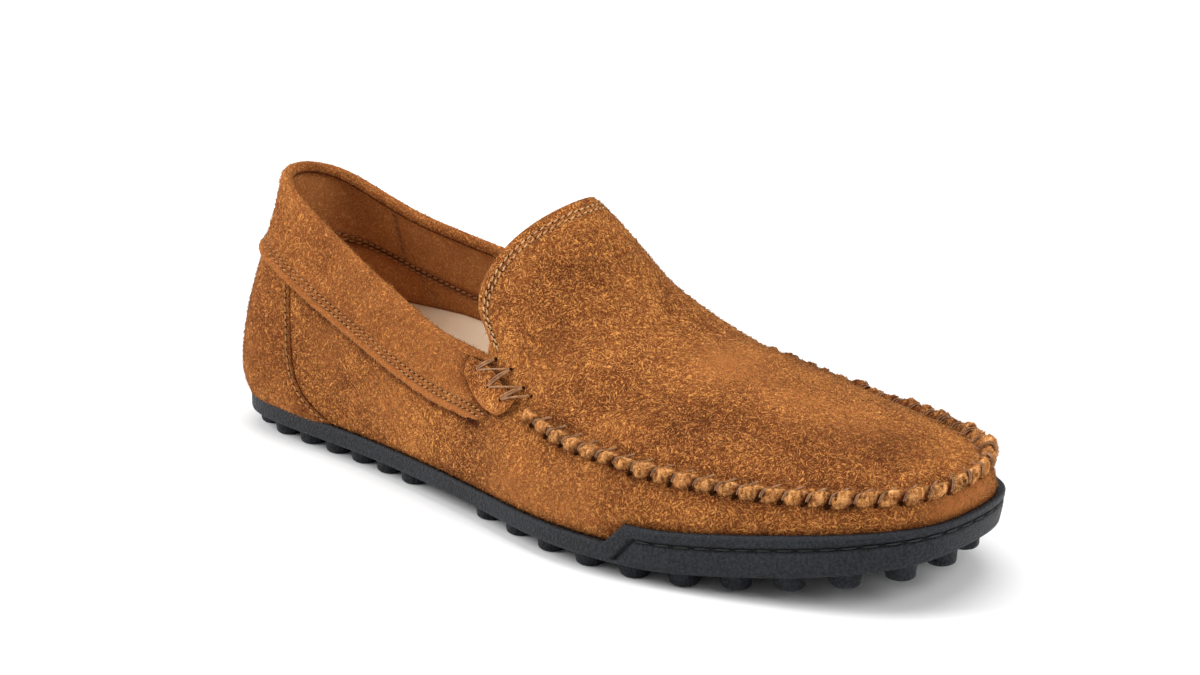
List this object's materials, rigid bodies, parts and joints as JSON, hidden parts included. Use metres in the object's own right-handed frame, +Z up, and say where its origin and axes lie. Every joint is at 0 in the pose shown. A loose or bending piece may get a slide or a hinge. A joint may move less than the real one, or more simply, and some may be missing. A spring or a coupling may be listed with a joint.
{
  "type": "driving loafer",
  "caption": "Suede slip-on driving loafer for the right foot, with a gathered moccasin apron seam, folded collar cuff and a flat rubber sole with round studs and a raised toe bumper.",
  "frame": {"origin": "middle of the shoe's box at the floor", "axes": "+X from the heel to the toe, +Y to the medial side, +Z up"},
  "size_m": [0.2882, 0.1062, 0.096],
  "materials": {
    "upper_suede": "cow suede with a short brushed nap, tan brown",
    "trim_suede": "cow suede, slightly lighter where it is folded, gathered or cut",
    "sock_leather": "smooth cream sock lining",
    "sole_rubber": "matt moulded slate black rubber",
    "sewing_thread": "bonded and waxed sewing thread"
  },
  "bodies": {
    "root": {"outsole": "sole_rubber", "insole": "sock_leather", "upper": "upper_suede", "heel_counter": "upper_suede", "collar_cuff": "trim_suede", "moc_seam": "trim_suede", "vamp_tab_lateral": "trim_suede", "vamp_tab_medial": "trim_suede"}
  },
  "joints": []
}
